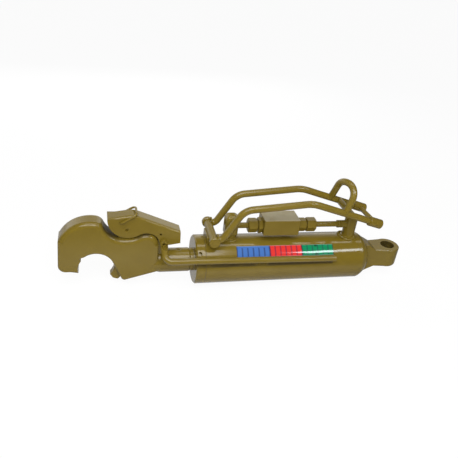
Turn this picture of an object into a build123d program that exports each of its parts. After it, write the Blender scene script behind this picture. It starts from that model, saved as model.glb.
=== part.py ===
from build123d import *
from math import cos, hypot, radians, sin, sqrt
import os

os.makedirs("parts", exist_ok=True)

# Hydraulic top link, closed.  Millimetres.  +X runs from the hook to the knuckle, +Z is up,
# and the origin is the centre of the knuckle bore.  A "station" is a distance along X from
# the front face of the gland cap; hook places are (x, z) from the centre of the ball seat.

# ---- fits ----
running = 0.06          # radial gap of a part that slides or turns in another
assembly = 0.03         # radial gap between pieces that are pressed, screwed or glued together
shelf = 0.4             # gap between flat faces that pass each other

# ---- cylinder ----
bore_r = 35.0
tube_wall = 7.5
rod_r = 20.0
barrel_length = 297.0   # front face of the gland cap to the rear weld
gland_cap_length = 16.0
gland_nose_length = 29.0
base_spigot = 8.0
shoulder_length = 28.0  # rear weld to the root of the knuckle
shoulder_land = 8.0
shoulder_root_r = 22.0
shoulder_bulge = (0.5, 0.3)   # shares of the shoulder's run and drop that its arc passes through
piston_length = 34.0
piston_bore_r = 12.5
piston_nut_af = 36.0
piston_nut_length = 20.0
end_gap = 2.0
port_hole_r = 4.0
spanner_hole_r = 3.5
spanner_hole_depth = 6.0
spanner_hole_station = 6.0
spanner_hole_count = 2
spanner_hole_start = 46.0   # degrees from the top to the first hole

# ---- knuckle ----
knuckle_reach = 48.0    # root of the knuckle to the centre of its bore
knuckle_bore_r = 12.85  # takes the 25.4 mm pin of a category 2 tractor
knuckle_eye_r = 22.3
knuckle_height = 37.0
knuckle_root_half_width = 16.5
knuckle_seat_depth = 14.0
knuckle_ramp_start = 33.0   # from the bore's centre to where the neck starts to grow taller
knuckle_ramp_rise = 9.0
knuckle_neck_angle = 20.0
knuckle_edge_round = 4.5

# ---- hook ----
hook_reach = 161.5      # ball seat to the front face of the gland cap, closed
ball_r = 28.0           # category 2 ball
seat_drop = 3.0         # the ball's centre under the rod's axis
seat_gap = 0.75
hook_width = 36.0
hook_round = 4.0
upper_round = 8.0       # dome, recess and hump are rounded more than the other edges
upper_round_from = 50.2 # height at which the larger round starts
rim_width = 4.5         # edges nearer the seat than this stay sharp
nose_x = 57.0
nose_spread = 2.6       # the nose is this much wider at its foot
dome_centre = (-8.0, 29.5)
dome_r = 53.0
lip_angle = 195.0
lip_z = -8.2
lip_foot_x = -40.0
nose_round = 12.0
mouth_flare_angle = 23.0
flare_length = 36.0
belly_front = (44.5, -28.0)
belly_rear_z = -12.5
recess_lip = (10.9, 79.0)
recess_lip_round = 16.0
latch_slot_width = 12.6
shank_r = 20.6
shank_blend = (70.0, 104.0)
shank_blend_rise = 6.6
shank_gap = 7.0         # shank end to the gland cap, closed
spigot_r = 14.0
spigot_length = 40.0
pivot = (48.5, 68.0)
pivot_r = 6.0
ear_r = 10.5
ear_thickness = 3.2
lever_lobe_centre = (51.5, 86.0)
lever_lobe_r = 33.0
lever_clearance = 2.0   # lever lobe to the hook's recess
latch_travel = 20.0     # degrees
hump_r = 20.0
hump_direction = -58.8
stop_pin = (107.9, 43.5)
stop_pin_r = 4.0
stop_pin_wall = 1.6
lug_half_width = 9.0
grub_station = 25.6     # in front of the gland cap
grub_r = 5.0
grub_sunk = 0.3
grub_socket_half = 2.0
grub_socket_depth = 2.5

# ---- release lever, latch and bail ----
lever_width = 26.0
lever_plate = 3.0
lever_start = (20.0, 88.0)
lever_crown = (60.0, 94.0)
lever_end = (135.3, 62.5)
lever_heel_z = 40.0
lever_bend_round = 4.0
lever_hole = (103.0, 58.0)
lever_hole_r = 2.0
pawl_thickness = 12.0
pawl_hub_r = 11.0
bail_eye = (38.7, 81.6)
bail_wire_r = 1.75
bail_leg = 29.0
bail_angle = 30.0
spring_z = 10.0
spring_coil_r = 5.0
spring_wire_r = 1.0
spring_turns = 8
spring_front = 53.2     # back of the pawl, where the spring pushes
spring_pocket_start = 72.0
spring_pocket_end = 97.0

# ---- length indicator ----
indicator_r = 5.5
indicator_gap = 2.1     # indicator rod to the barrel
indicator_angle = 26.3  # degrees above the barrel's waist
indicator_end_station = 247.0
indicator_front_rise = 3.5   # the rod is this much higher at the hook than at its free end
indicator_bend = 11.0
indicator_eye_r = 6.4
indicator_eye_thickness = 5.0
scale_start = 68.8
scale_length = 177.5
scale_thickness = 0.3
scale_low_angle = 33.3
scale_high_angle = 59.9

# ---- hydraulics ----
pipe_z = 66.0
pipe_r = 5.0
pipe_wall = 1.5
front_port_station = 61.0
front_post_r = 10.0
elbow_size = 23.0
elbow_top = 88.0
elbow_base = 53.0
elbow_socket = 6.0
elbow_round = 6.0
elbow_crown = 8.0
block_start = 115.0
block_length = 64.0
block_width = 38.0
block_height = 29.0
block_centre_z = 69.5
hose_port_r = 7.6
hose_port_depth = 14.0
hose_port_spread = 26.0
nut_af = 22.0
front_adapter_af = 24.0
rear_adapter_af = 21.0
adapter_hex = 7.0
adapter_thread = 10.0
adapter_groove = 2.0
adapter_neck_r = 8.0
rear_adapter_hex = 14.0
rear_nut_length = 18.0
front_nut_length = 16.0
rear_port_inset = 13.0  # from the rear end of the tube
rear_post_r = 11.3
rear_post_top = 83.0
rear_arm_r = 5.5
rear_arm_half_width = 5.0
rear_fitting_length = 14.7
rear_fitting_r = 6.8
rear_fitting_socket = 10.0
weld_ring_height = 2.2

# ---- guard ----
guard_half_width = 28.9
guard_bar_r = 6.0
guard_bend = 28.0
guard_rear_bend_round = 60.0
far_bar_short = 5.0     # the far bar ends this much in front of the near one
guard_foot_bend = 12.0
guard_foot = (41.0, 56.5)
guard_front_bend = (73.0, 110.0)
guard_rear_bend = (190.0, 122.0)
guard_rear_end = (324.5, 81.0)
crossbar = (27.5, 54.0)
crossbar_r = 7.2
collar_r = 9.5
collar_length = 8.0
crossbar_overhang = 9.0
saddle_thickness = 14.0
saddle_offset = -2.0    # middle of the saddle from the middle of the crossbar
saddle_half_width = 17.0
sleeve_r = 8.5
sleeve_length = 26.0
sleeve_cap = 2.0        # closed end of a sleeve behind the bar's end
tie_rod_r = 4.2
stay_ahead = 17.0       # middle of the rear stay to the rear port post
loop_feet = (248.5, 252.5)         # far, near
loop_shoulders = (252.5, 267.5)    # far, near
loop_bar_r = 6.0
loop_top = 147.5
loop_shoulder_far = 12.0
loop_shoulder_near = 25.5
loop_shoulder_rise = 2.5
loop_bend = 22.0

# ---- places that follow from the sizes ----
tube_r = bore_r + tube_wall
front = -(barrel_length + shoulder_length + knuckle_reach)
seat_x = front - hook_reach
seat_r = ball_r + seat_gap
seat_centre = (0.0, -seat_drop)
gland_length = gland_cap_length + gland_nose_length
base_face = barrel_length - base_spigot
rear_port_station = barrel_length - rear_port_inset
piston_front = base_face - end_gap - piston_nut_length - piston_length
shank_end = hook_reach - shank_gap
hump_centre = (
    lever_lobe_centre[0] + (lever_lobe_r + lever_clearance + hump_r) * cos(radians(hump_direction)),
    lever_lobe_centre[1] + (lever_lobe_r + lever_clearance + hump_r) * sin(radians(hump_direction)),
)
indicator_reach = tube_r + indicator_gap + indicator_r
indicator_y = -indicator_reach * cos(radians(indicator_angle))
indicator_z = indicator_reach * sin(radians(indicator_angle))


def station(x):
    return front + x


def cyl_x(x0, x1, r, y=0.0, z=0.0):
    return Pos(x0, y, z) * Rot(0, 90, 0) * Cylinder(r, x1 - x0, align=(Align.CENTER, Align.CENTER, Align.MIN))


def cyl_y(y0, y1, r, x=0.0, z=0.0):
    return Pos(x, y0, z) * Rot(-90, 0, 0) * Cylinder(r, y1 - y0, align=(Align.CENTER, Align.CENTER, Align.MIN))


def cyl_z(z0, z1, r, x=0.0, y=0.0):
    return Pos(x, y, z0) * Cylinder(r, z1 - z0, align=(Align.CENTER, Align.CENTER, Align.MIN))


def turned(points):
    """Solid turned about the X axis from an (x, radius) outline."""
    return revolve(Plane.XZ * make_face(Polyline(*points, close=True)), axis=Axis.X)


def ring_x(x0, x1, r_out, r_in):
    return turned([(x0, r_in), (x1, r_in), (x1, r_out), (x0, r_out)])


def hex_x(x0, x1, across, z=0.0):
    """Hexagon bar along X with its corners turned off at both ends."""
    corner_r = across / sqrt(3)
    cut = across * 0.055
    bar = extrude(Plane.YZ * RegularPolygon(across / 2, 6, major_radius=False), x1 - x0)
    blank = turned(
        [(0, 0), (0, corner_r - cut), (cut, corner_r), (x1 - x0 - cut, corner_r),
         (x1 - x0, corner_r - cut), (x1 - x0, 0)]
    )
    return Pos(x0, 0, z) * (bar & blank)


def rod_along(path, r):
    return sweep(Plane(path @ 0, z_dir=path % 0) * Circle(r), path=path)


def slab(face, half_width):
    """Extrude a face drawn in hook places (x, z) to both sides of the middle plane."""
    return Pos(seat_x, 0, 0) * extrude(Plane.XZ * face, half_width, both=True)


def polygon(*points):
    return make_face(Polyline(*points, close=True))


def disc(centre, r):
    return Pos(*centre) * Circle(r)


# ---------------------------------------------------------------- cylinder
def barrel_tube():
    tube = ring_x(station(gland_cap_length), station(barrel_length), tube_r, bore_r)
    for port in (front_port_station, rear_port_station):
        tube -= cyl_z(0, tube_r + 5, port_hole_r, station(port))
    return tube


seal_grooves = {                   # station, width, depth into the gland
    "wiper_ring": (1.5, 6.0, 5.0),
    "rod_seal": (13.0, 9.0, 6.0),
    "gland_guide_ring": (27.0, 12.0, 2.5),
}
static_groove = (24.0, 4.0, 3.0)   # o-ring under the tube


def gland_cap():
    nose_r = bore_r - assembly
    cap = turned([
        (station(0), rod_r + running), (station(0), tube_r - 2), (station(2), tube_r),
        (station(gland_cap_length), tube_r), (station(gland_cap_length), nose_r),
        (station(gland_length - 2), nose_r), (station(gland_length), nose_r - 2),
        (station(gland_length), rod_r + running),
    ])
    for start, width, depth in seal_grooves.values():
        cap -= ring_x(station(start), station(start + width), rod_r + depth, rod_r - 1)
    start, width, depth = static_groove
    cap -= ring_x(station(start), station(start + width), bore_r + 1, nose_r - depth)
    hole = cyl_z(tube_r - spanner_hole_depth, tube_r + 2, spanner_hole_r, station(spanner_hole_station))
    for index in range(spanner_hole_count):
        cap -= Rot(spanner_hole_start + 360 / spanner_hole_count * index, 0, 0) * hole
    return cap


def gland_ring(name):
    start, width, depth = seal_grooves[name]
    return ring_x(station(start + shelf / 2), station(start + width - shelf / 2),
                  rod_r + depth - assembly, rod_r + running / 2)


def gland_o_ring():
    start, width, depth = static_groove
    radius = depth / 2 - assembly
    centre_r = bore_r - assembly - depth / 2
    return revolve(Plane.XZ * Pos(station(start + width / 2), centre_r) * Circle(radius), axis=Axis.X)


def rear_cap(gap=0.0):
    """Domed cap welded into the rear of the tube; gap makes it larger, to cut its seat from the knuckle."""
    weld_x, root_x = station(barrel_length), station(barrel_length + shoulder_length) + gap
    land_x = weld_x + shoulder_land
    outer_r, root_r, spigot = tube_r + gap, shoulder_root_r + gap, bore_r - assembly
    run = root_x - land_x
    bulge = (land_x + run * shoulder_bulge[0], outer_r - (outer_r - root_r) * shoulder_bulge[1])
    outline = [
        Line((weld_x - base_spigot, 0), (weld_x - base_spigot, spigot)),
        Line((weld_x - base_spigot, spigot), (weld_x, spigot)),
        Line((weld_x, spigot), (weld_x, outer_r)),
        Line((weld_x, outer_r), (land_x, outer_r)),
        ThreePointArc((land_x, outer_r), bulge, (root_x, root_r)),
        Line((root_x, root_r), (root_x, 0)),
        Line((root_x, 0), (weld_x - base_spigot, 0)),
    ]
    return revolve(Plane.XZ * make_face(outline), axis=Axis.X)


def knuckle():
    """Flat eye for the tractor's pin, on a neck that grows taller towards the rear cap it stands on."""
    root_x = station(barrel_length + shoulder_length)
    sunk_x = root_x - knuckle_seat_depth
    half = knuckle_height / 2
    tall = half + knuckle_ramp_rise
    side = radians(knuckle_neck_angle)
    shoulder = (-knuckle_eye_r * sin(side), knuckle_eye_r * cos(side))
    plan = polygon(
        (sunk_x, knuckle_root_half_width), (root_x, knuckle_root_half_width), shoulder, (0, 0),
        (shoulder[0], -shoulder[1]), (root_x, -knuckle_root_half_width), (sunk_x, -knuckle_root_half_width))
    profile = polygon(
        (0, half), (-knuckle_ramp_start, half), (root_x, tall), (sunk_x, tall),
        (sunk_x, -tall), (root_x, -tall), (-knuckle_ramp_start, -half), (0, -half))
    neck = extrude(plan, tall, both=True) & extrude(Plane.XZ * profile, knuckle_eye_r, both=True)
    body = neck + cyl_z(-half, half, knuckle_eye_r)
    rim = body.edges().filter_by(lambda e: e.center().X > -knuckle_ramp_start + 1)
    body = fillet(rim.filter_by(lambda e: abs(e.center().Z + half) < 0.1), knuckle_edge_round)
    rim = body.edges().filter_by(lambda e: e.center().X > -knuckle_ramp_start + 1)
    body = chamfer(rim.filter_by(lambda e: abs(e.center().Z - half) < 0.1), 0.8)
    return body - rear_cap(assembly) - cyl_z(-half - 1, half + 1, knuckle_bore_r)


# ---------------------------------------------------------------- piston and rod
def piston_rod():
    shoulder = station(-shank_gap)
    tail = station(piston_front + piston_length + piston_nut_length)
    return turned([
        (shoulder - spigot_length, 0), (shoulder - spigot_length, spigot_r - 1.5),
        (shoulder - spigot_length + 1.5, spigot_r), (shoulder, spigot_r), (shoulder, rod_r - 1),
        (shoulder + 1, rod_r), (station(piston_front), rod_r), (station(piston_front), piston_bore_r),
        (tail, piston_bore_r), (tail, 0),
    ])


piston_grooves = {                 # offset from the piston's front, width, depth
    "piston_seal": (13.0, 9.0, 5.0),
    "piston_wear_ring": (25.0, 6.0, 2.5),
}


def piston():
    body = turned([
        (station(piston_front), piston_bore_r + assembly), (station(piston_front), bore_r - 2),
        (station(piston_front + 2), bore_r - running), (station(piston_front + piston_length - 2), bore_r - running),
        (station(piston_front + piston_length), bore_r - 2),
        (station(piston_front + piston_length), piston_bore_r + assembly),
    ])
    for start, width, depth in piston_grooves.values():
        x0 = station(piston_front + start)
        body -= ring_x(x0, x0 + width, bore_r + 1, bore_r - depth)
    return body


def piston_ring(name):
    start, width, depth = piston_grooves[name]
    x0 = station(piston_front + start)
    return ring_x(x0 + shelf / 2, x0 + width - shelf / 2, bore_r - running / 2, bore_r - depth + assembly)


def piston_nut():
    x0 = station(piston_front + piston_length)
    return hex_x(x0, x0 + piston_nut_length, piston_nut_af) - cyl_x(
        x0 - 1, x0 + piston_nut_length + 1, piston_bore_r + assembly)


# ---------------------------------------------------------------- hook
def swing(point, degrees):
    """Where a point fixed to the latch goes when the lever is lifted."""
    dx, dz = point[0] - pivot[0], point[1] - pivot[1]
    c, s = cos(radians(degrees)), sin(radians(degrees))
    return (pivot[0] + dx * c - dz * s, pivot[1] + dx * s + dz * c)


def on_circle(centre, r, degrees):
    return (centre[0] + r * cos(radians(degrees)), centre[1] + r * sin(radians(degrees)))


def hook_outline():
    """Side view of the forged hook: dome, recess under the lever, hump, belly and open mouth."""
    recess_r = lever_lobe_r + lever_clearance
    swung = swing(lever_lobe_centre, latch_travel)
    dome_left = dome_centre[1] + sqrt(dome_r**2 - (nose_x + dome_centre[0])**2)
    rear_x = hump_centre[0] + hump_r
    lip = on_circle(seat_centre, seat_r, lip_angle)
    flare = on_circle(seat_centre, seat_r, mouth_flare_angle)
    flare_end = (flare[0] + flare_length * sin(radians(mouth_flare_angle)),
                 flare[1] - flare_length * cos(radians(mouth_flare_angle)))
    body = polygon(
        (-nose_x - nose_spread, lip_z), (-nose_x, dome_left), (dome_centre[0], dome_left), (dome_centre[0], dome_centre[1] + 40),
        (30, 70), on_circle(lever_lobe_centre, recess_r, hump_direction), hump_centre,
        (rear_x, hump_centre[1]), (rear_x, belly_rear_z), belly_front, flare_end, flare,
        seat_centre, lip, (lip_foot_x, lip_z),
    )
    dome = disc(dome_centre, dome_r) & (Pos(0, dome_centre[1] + dome_r) * Rectangle(2 * nose_x, 2 * dome_r))
    body = body + dome + disc(hump_centre, hump_r)
    recess = make_hull((disc(lever_lobe_centre, recess_r) + disc(swung, recess_r)).edges())
    body = body - recess
    for corner, radius in (((-nose_x - nose_spread, lip_z), nose_round), ((-nose_x, dome_left), 8.0), (recess_lip, recess_lip_round),
                           ((rear_x, belly_rear_z), 4.0), (belly_front, 3.5)):
        near = body.vertices().sort_by(lambda v: hypot(v.X - corner[0], v.Y - corner[1]))[0]
        body = fillet(near, radius)
    relief = Pos(*seat_centre) * polygon((-5, 26.5), (-25, 22.5), (-24.5, 17.0), (-15, 14))
    return body - disc(seat_centre, seat_r) - relief


def hook_slot():
    """Side view of the slot that the latch swings in."""
    return polygon(
        (33, 100), (33, 24), (27, 7), (10, -12), (10, -45), (82, -45), (79, -10), (76, 20), (72, 52), (72, 100),
    )


def corner_waste(edge, solid, r):
    """What rounding one edge of a slab's side face takes away, swept along that edge."""
    start, along = edge @ 0, edge % 0
    into = Vector(0, 1 if start.Y < 0 else -1, 0)
    inward = solid.is_inside(edge @ 0.5 + into.cross(edge % 0.5) + into)
    turn = 1 if inward else -1
    place = Plane(start, x_dir=into.cross(along) * turn, z_dir=along * turn)
    waste = make_face([
        ThreePointArc((r, 0), (0.31 * r, 0.31 * r), (0, r)),
        Polyline((0, r), (-1, r), (-1, -1), (r, -1), (r, 0)),
    ])
    return sweep(place * waste, path=edge)


def hook_body():
    half = hook_width / 2
    blank = slab(hook_outline(), half)
    body = blank
    outer = [
        e for e in body.edges()
        if abs(abs(e.center().Y) - half) < 0.01
        and hypot(e.center().X - seat_x, e.center().Z + seat_drop) > seat_r + rim_width
    ]
    body = fillet(outer, hook_round)
    for edge in outer:
        if edge.center().Z > upper_round_from and edge.center().X > seat_x + dome_centre[0] - dome_r / 2:
            body -= corner_waste(edge, blank.solid(), upper_round)
    inner_ear = latch_slot_width / 2
    outer_ear = inner_ear + ear_thickness
    ear = disc(pivot, ear_r) + polygon(
        (pivot[0] - ear_r, pivot[1]), (pivot[0] + ear_r, pivot[1]),
        (pivot[0] + ear_r + 5, 40), (pivot[0] - ear_r - 5, 40))
    body += slab(ear, outer_ear)
    blend_start, blend_end = (seat_x + x for x in shank_blend)
    end_x = seat_x + shank_end
    body += turned([
        (blend_start, 0), (blend_start, shank_r - shank_blend_rise), (blend_end, shank_r),
        (end_x - 1.5, shank_r), (end_x, shank_r - 1.5), (end_x, 0)])
    lug = disc(stop_pin, stop_pin_r + 3.5) + polygon(
        (stop_pin[0] - 14, stop_pin[1] - 4), (stop_pin[0] + stop_pin_r + 3.5, stop_pin[1]),
        (stop_pin[0] + stop_pin_r + 7, 10), (stop_pin[0] - 14, 10))
    body += slab(lug, lug_half_width)
    body -= slab(hook_slot(), inner_ear)
    body -= cyl_y(-half, half, pivot_r + running, seat_x + pivot[0], pivot[1])
    body -= cyl_y(-half, half, stop_pin_r + assembly, seat_x + stop_pin[0], stop_pin[1])
    body -= cyl_x(end_x - spigot_length - 1.0, end_x + 1, spigot_r + assembly)
    body -= cyl_x(seat_x + spring_pocket_start, seat_x + spring_pocket_end, spring_coil_r + 2 * spring_wire_r, 0, spring_z)
    body -= cyl_z(spigot_r - 1, shank_r + 2, grub_r + assembly, station(-grub_station))
    return body


def hook_grub_screw():
    top = shank_r - grub_sunk
    screw = cyl_z(spigot_r + 0.2, top, grub_r, station(-grub_station))
    socket = extrude(Plane.XY * RegularPolygon(grub_socket_half, 6, major_radius=False), grub_socket_depth)
    return screw - Pos(station(-grub_station), 0, top - grub_socket_depth) * socket


def lever_stop_pin():
    y0, y1 = -(lever_width / 2 + 1.5 + indicator_eye_thickness + 0.8), lever_width / 2 + 2.0
    pin = cyl_y(y0, y1, stop_pin_r, seat_x + stop_pin[0], stop_pin[1])
    return pin - cyl_y(y0 - 1, y1 + 1, stop_pin_r - stop_pin_wall, seat_x + stop_pin[0], stop_pin[1])


def indicator_rod():
    eye_y = -(lever_width / 2 + 1.5)
    eye_mid = eye_y - indicator_eye_thickness / 2
    eye_x, eye_z = seat_x + stop_pin[0], stop_pin[1]
    path = FilletPolyline(
        (eye_x, eye_mid, eye_z), (eye_x + 1, indicator_y, indicator_z + indicator_front_rise),
        (station(indicator_end_station), indicator_y, indicator_z), radius=indicator_bend)
    bar = rod_along(path, indicator_r)
    tip = bar.faces().sort_by(Axis.X)[-1]
    bar = chamfer(tip.edges(), 0.8)
    eye = cyl_y(eye_y - indicator_eye_thickness, eye_y, indicator_eye_r, eye_x, eye_z)
    reach = 2 * lever_width
    trim = Pos(eye_x, eye_y, eye_z) * Box(reach, reach, reach, align=(Align.CENTER, Align.MIN, Align.CENTER))
    bar = (bar + eye) - trim
    return bar - cyl_y(eye_y - 40, eye_y + 1, stop_pin_r + assembly, eye_x, eye_z)


# ---------------------------------------------------------------- release lever and latch
def lever_outline(drop=0.0):
    """Side view of the pressed lever; drop lowers its top line for the inside of the channel."""
    a, b, c = ((p[0], p[1] - drop) for p in (lever_start, lever_crown, lever_end))
    if drop:
        a, c = (a[0] - 20, a[1] - 3), (c[0] + 20, c[1] - 20 * 0.445)
        inside = polygon(a, b, c, (c[0], -60), (a[0], -60))
        return fillet(inside.vertices().sort_by(Axis.Y)[-1:], 40 - drop)
    arch_r = hump_r + lever_clearance
    heel_x = stop_pin[0] + stop_pin_r
    arm = polygon(a, b, c, (c[0] + 0.5, lever_heel_z + 1), (heel_x + 6, lever_heel_z - 2),
                  (hump_centre[0] + arch_r - 1, lever_heel_z - 2), hump_centre, lever_lobe_centre)
    side = arm + disc(lever_lobe_centre, lever_lobe_r)
    above = polygon((a[0] - 20, a[1] - 3), a, b, c, (c[0], 160), (a[0] - 20, 160))
    above -= polygon((a[0] - 21, 0), (a[0] - 21, a[1]), (a[0], a[1]), (a[0], 0))
    cap_line = polygon((a[0] - 30, a[1]), a, (a[0], 160), (a[0] - 30, 160))
    side = side - above - cap_line - disc(hump_centre, arch_r)
    notch_r = stop_pin_r + shelf
    way_out = make_hull((disc(stop_pin, notch_r) + disc(swing(stop_pin, -latch_travel / 2), notch_r)).edges())
    side = side - way_out - polygon(
        stop_pin, (stop_pin[0] + notch_r, stop_pin[1]), (stop_pin[0] + notch_r, 0), (stop_pin[0], 0))
    crown = side.vertices().sort_by(lambda v: hypot(v.X - b[0], v.Y - b[1]))[0]
    return fillet(crown, 40)


def release_lever():
    half = lever_width / 2
    body = slab(lever_outline(), half)
    top_edges = [
        e for e in body.edges()
        if abs(abs(e.center().Y) - half) < 0.01 and on_top_line(e.center().X - seat_x, e.center().Z)
    ]
    body = fillet(top_edges, lever_bend_round)
    body -= slab(lever_outline(drop=lever_plate), half - lever_plate)
    body -= cyl_y(-half - 1, half + 1, pivot_r + assembly, seat_x + pivot[0], pivot[1])
    body -= cyl_y(-half - 1, half + 1, bail_wire_r + running, seat_x + bail_eye[0], bail_eye[1])
    body -= cyl_y(-half - 1, half + 1, lever_hole_r, seat_x + lever_hole[0], lever_hole[1])
    return body


def on_top_line(x, z):
    if x < lever_start[0] + 1 or x > lever_end[0] - 1:
        return False
    if x < lever_crown[0]:
        line = lever_start[1] + (x - lever_start[0]) * (lever_crown[1] - lever_start[1]) / (
            lever_crown[0] - lever_start[0])
    else:
        line = lever_crown[1] + (x - lever_crown[0]) * (lever_end[1] - lever_crown[1]) / (
            lever_end[0] - lever_crown[0])
    return abs(z - line) < 3.0


def latch_pawl():
    seat_face = seat_r + shelf
    top = on_circle(seat_centre, seat_face, -5)
    low = on_circle(seat_centre, seat_face, -40)
    arm = polygon(
        (pivot[0] - pawl_hub_r, pivot[1] - 3), (36.5, 26), (31.0, 8), top, on_circle(seat_centre, seat_face, -22),
        low, (27.0, -29.0), (35.0, -31.5), (41.5, -24.0), (50.0, 0.0), (59.0, 40), (pivot[0] + pawl_hub_r, pivot[1] - 3),
    )
    arm -= disc(seat_centre, seat_face)
    toe = [v for v in arm.vertices() if v.Y < -23]
    arm = fillet(toe, 2.5)
    pawl = slab(arm + disc(pivot, pawl_hub_r), pawl_thickness / 2)
    pawl -= cyl_y(-20, 20, pivot_r + assembly, seat_x + pivot[0], pivot[1])
    return pawl - key_pin_shape(assembly)


def key_pin_shape(gap=0.0):
    return cyl_z(pivot[1] - pawl_hub_r - 1, pivot[1] + pawl_hub_r - 1, 2.0 + gap, seat_x + pivot[0])


def pawl_key_pin():
    return key_pin_shape()


def pivot_pin():
    half = lever_width / 2 + 0.2
    pin = cyl_y(-half, half, pivot_r, seat_x + pivot[0], pivot[1])
    for side in (-1, 1):
        y0, y1 = sorted((side * (half - 3), side * (half + 1)))
        pin -= cyl_y(y0, y1, 2.6, seat_x + pivot[0], pivot[1])
    return pin - key_pin_shape(assembly)


def latch_spring():
    start = spring_front + spring_wire_r
    length = spring_pocket_end - spring_wire_r - 0.3 - start
    coil = Helix(length / spring_turns, length, spring_coil_r)
    wire = sweep(Plane(coil @ 0, z_dir=coil % 0) * Circle(spring_wire_r), path=coil, is_frenet=True)
    return Pos(seat_x + start, 0, spring_z) * Rot(0, 90, 0) * wire


def pull_bail():
    x, z = seat_x + bail_eye[0], bail_eye[1]
    outer = lever_width / 2 + 2.6
    reach_x, reach_z = bail_leg * cos(radians(bail_angle)), bail_leg * sin(radians(bail_angle))
    inner = lever_width / 2 - lever_plate - 0.8
    path = FilletPolyline(
        (x, -inner, z), (x, -outer, z), (x + reach_x, -outer, z + reach_z),
        (x + reach_x, outer, z + reach_z), (x, outer, z), (x, inner, z), radius=[2.4, 8.0, 8.0, 2.4])
    return rod_along(path, bail_wire_r)


# ---------------------------------------------------------------- hydraulics
def tube_nut(x0, x1, taper_to):
    """Tube nut: hexagon with a turned cone towards the pipe at taper_to, which is x0 or x1."""
    length = x1 - x0
    body = hex_x(x0, x1, nut_af, pipe_z)
    cone = turned([(0, 0), (0, nut_af * 0.36), (length * 0.3, nut_af), (length + 1, nut_af), (length + 1, 0)])
    if taper_to == x1:
        cone = Pos(x1, 0, pipe_z) * Rot(0, 0, 180) * cone
    else:
        cone = Pos(x0, 0, pipe_z) * cone
    return (body & cone) - cyl_x(x0 - 1, x1 + 1, pipe_r + assembly, 0, pipe_z)


def pipe(x0, x1):
    return cyl_x(x0, x1, pipe_r, 0, pipe_z) - cyl_x(x0 - 1, x1 + 1, pipe_r - pipe_wall, 0, pipe_z)


front_nut_end = block_start - adapter_hex - adapter_groove
front_nut_start = front_nut_end - front_nut_length
block_end = block_start + block_length
rear_adapter_end = block_end + adapter_groove + rear_adapter_hex
rear_nut_start = rear_adapter_end + adapter_groove
rear_nut_end = rear_nut_start + rear_nut_length
rear_fitting_start = rear_port_station - rear_post_r - rear_fitting_length


def weld_ring(post_r, x):
    """Cone of weld where an upright post meets the top of the barrel."""
    height = tube_r + weld_ring_height
    outer_r = post_r + weld_ring_height
    ring = Pos(x, 0, tube_r - 3) * Cylinder(outer_r, 3.5, align=(Align.CENTER, Align.CENTER, Align.MIN))
    cone = Pos(x, 0, tube_r + 0.5) * Cone(outer_r, post_r, height - tube_r - 0.5,
                                          align=(Align.CENTER, Align.CENTER, Align.MIN))
    return ring + cone


def front_port_post():
    x = station(front_port_station)
    post = cyl_z(tube_r - 3, elbow_base, front_post_r, x) + weld_ring(front_post_r, x)
    post -= cyl_x(station(0), station(barrel_length), tube_r + assembly)
    return post - cyl_z(0, elbow_base + 1, port_hole_r, x)


def front_elbow():
    x = station(front_port_station)
    half = elbow_size / 2
    block = Pos(x, 0, elbow_base) * Box(elbow_size, elbow_size, elbow_top - elbow_base,
                                        align=(Align.CENTER, Align.CENTER, Align.MIN))
    block = fillet(block.edges().filter_by(Axis.Z), elbow_round)
    block = fillet(block.edges().group_by(Axis.Z)[-1], elbow_crown)
    block -= cyl_z(elbow_base - 1, pipe_z + port_hole_r, port_hole_r, x)
    block -= cyl_x(x, x + half, port_hole_r, 0, pipe_z)
    return block - cyl_x(x + half - elbow_socket, x + half + 1, pipe_r + assembly, 0, pipe_z)


def front_pipe():
    return pipe(station(front_port_station + elbow_size / 2 - elbow_socket), station(front_nut_end - adapter_groove))


def adapter(x_block, x_hex, x_end, across):
    """Screwed adapter: hexagon from x_hex to x_end, with a threaded neck into the block and the tube nut."""
    away = 1 if x_end > x_block else -1
    body = hex_x(*sorted((x_hex, x_end)), across, pipe_z)
    lo, hi = sorted((x_block - away * adapter_thread, x_end + away * adapter_groove))
    body += cyl_x(lo, hi, adapter_neck_r - assembly, 0, pipe_z)
    return body - cyl_x(lo - 1, hi + 1, port_hole_r, 0, pipe_z)


def front_adapter():
    face = station(block_start)
    return adapter(face, face, face - adapter_hex, front_adapter_af)


def rear_adapter():
    face = station(block_end)
    return adapter(face, face + adapter_groove, station(rear_adapter_end), rear_adapter_af)


def valve_block():
    x0, x1 = station(block_start), station(block_end)
    block = Pos((x0 + x1) / 2, 0, block_centre_z) * Box(block_length, block_width, block_height)
    block = chamfer(block.edges(), 1.0)
    block -= cyl_x(x0 - 1, x1 + 1, port_hole_r, 0, pipe_z)
    thread = adapter_thread + 0.5
    for start, end in ((x0 - 1, x0 + thread), (x1 - thread, x1 + 1)):
        block -= cyl_x(start, end, adapter_neck_r, 0, pipe_z)
    for side in (-1, 1):
        x = (x0 + x1) / 2 + side * hose_port_spread / 2
        block -= cyl_y(block_width / 2 - hose_port_depth, block_width / 2 + 1, hose_port_r, x, block_centre_z)
        block -= cyl_y(0, block_width / 2, 3.0, x, pipe_z)
    return block


def front_tube_nut():
    return tube_nut(station(front_nut_start), station(front_nut_end - 0.1), station(front_nut_start))


def rear_tube_nut():
    return tube_nut(station(rear_nut_start + 0.1), station(rear_nut_end), station(rear_nut_end))


def rear_pipe():
    return pipe(station(rear_nut_start + adapter_groove), station(rear_fitting_start + rear_fitting_socket))


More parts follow.
